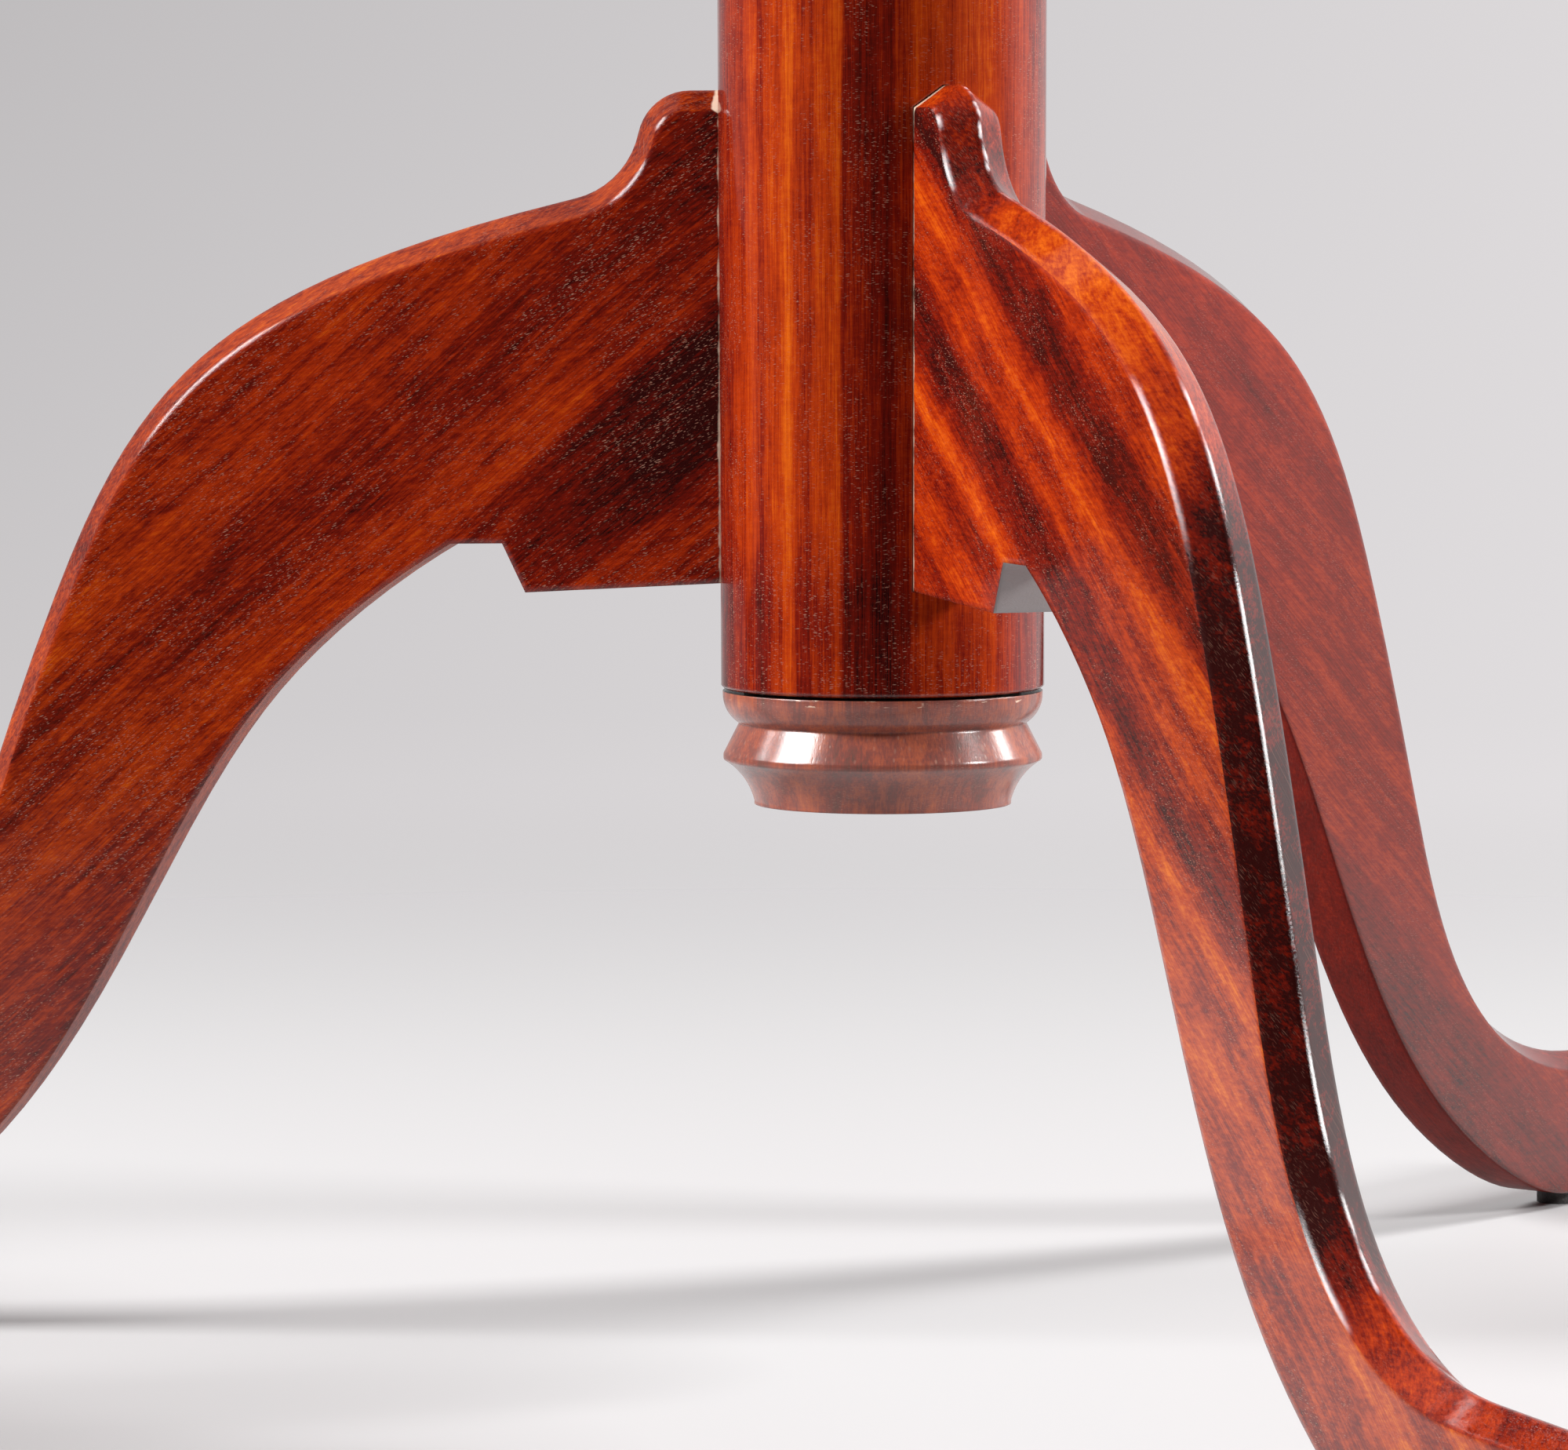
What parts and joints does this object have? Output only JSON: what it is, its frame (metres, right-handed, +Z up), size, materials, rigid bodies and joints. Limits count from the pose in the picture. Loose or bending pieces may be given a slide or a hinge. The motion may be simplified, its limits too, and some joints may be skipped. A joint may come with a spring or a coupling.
{
  "type": "candlestick table",
  "caption": "Round-topped pedestal table: turned column with a moulded pendant, carried by curved flat-sided legs. It stands free and holds a candlestick, lamp or cup.",
  "frame": {"origin": "floor level on the column's axis", "axes": "+Z up along the column; the left leg points along -X"},
  "size_m": [0.58, 0.58, 0.69],
  "materials": {
    "column_wood": "gloss lacquer over ribbon-striped red-brown wood",
    "leg_wood": "gloss lacquer over ribbon-striped red-brown wood",
    "pendant_wood": "gloss lacquer over dark red-brown wood",
    "top_wood": "gloss lacquer over ribbon-striped red-brown wood",
    "bearer_wood": "thin lacquer",
    "inner_wood": "bare",
    "pad_felt": "pressed felt",
    "screw_steel": "zinc plated"
  },
  "bodies": {
    "root": {"column": "column_wood", "tenon_wedge": "inner_wood", "leg_left": "leg_wood", "leg_front": "leg_wood", "leg_rear": "leg_wood", "leg_dowels": "inner_wood", "pendant": "pendant_wood", "pendant_dowel": "inner_wood", "foot_pad_left": "pad_felt", "foot_pad_front": "pad_felt", "foot_pad_rear": "pad_felt", "top_board_left": "top_wood", "top_board_middle": "top_wood", "top_board_right": "top_wood", "top_bearer": "bearer_wood", "bearer_screws": "screw_steel"}
  },
  "joints": []
}
